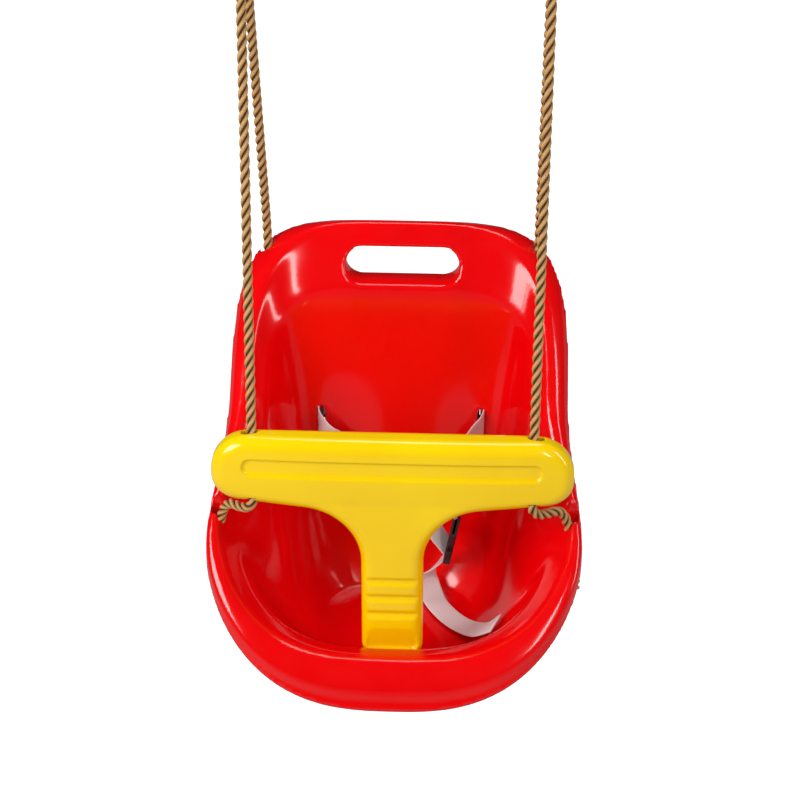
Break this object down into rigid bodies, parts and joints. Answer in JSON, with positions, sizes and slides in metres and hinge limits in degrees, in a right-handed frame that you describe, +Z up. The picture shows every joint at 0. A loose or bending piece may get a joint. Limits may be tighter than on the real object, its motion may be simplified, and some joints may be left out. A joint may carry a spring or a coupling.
{
  "type": "toddler bucket swing",
  "caption": "Toddler bucket swing: high-backed hollow moulded bucket seat, sliding T-shaped safety bar, waist strap with buckle, and doubled ropes on hanging rings.",
  "frame": {"origin": "middle of the line through the two hanging rings' bars, on which the swing turns", "axes": "+X to the right seen from the front, +Y towards the backrest, +Z up; the seat's underside is at z = -0.9 m"},
  "size_m": [0.382, 0.334, 0.95],
  "materials": {
    "red_plastic": "gloss",
    "yellow_plastic": "gloss",
    "rope": "satin",
    "steel": "satin",
    "ferrule_metal": "satin",
    "webbing": "matte",
    "black_plastic": "matte"
  },
  "bodies": {
    "hangers": {"hanging_ring_left": "steel", "hanging_ring_right": "steel"},
    "swing": {"seat_shell": "red_plastic", "rope_left": "rope", "rope_right": "rope", "knot_front_left": "rope", "knot_front_right": "rope", "knot_rear_left": "rope", "knot_rear_right": "rope", "thimble_left": "steel", "thimble_right": "steel", "ferrule_left": "ferrule_metal", "ferrule_right": "ferrule_metal", "strap_left": "webbing", "strap_right": "webbing", "strap_tail": "webbing", "strap_stop_left": "black_plastic", "strap_stop_right": "black_plastic", "buckle_socket": "black_plastic", "buckle_plug": "black_plastic"},
    "safety_bar": {"t_bar": "yellow_plastic"}
  },
  "joints": [
    {"name": "swinging", "type": "hinge", "parent": "hangers", "child": "swing", "pos_m": [0, 0, 0], "axis": [1, 0, 0], "range_deg": [-40, 40]},
    {"name": "bar_slide", "type": "slide", "parent": "swing", "child": "safety_bar", "axis": [0, 0.1736, 0.9848], "range_m": [0, 0.4]}
  ]
}
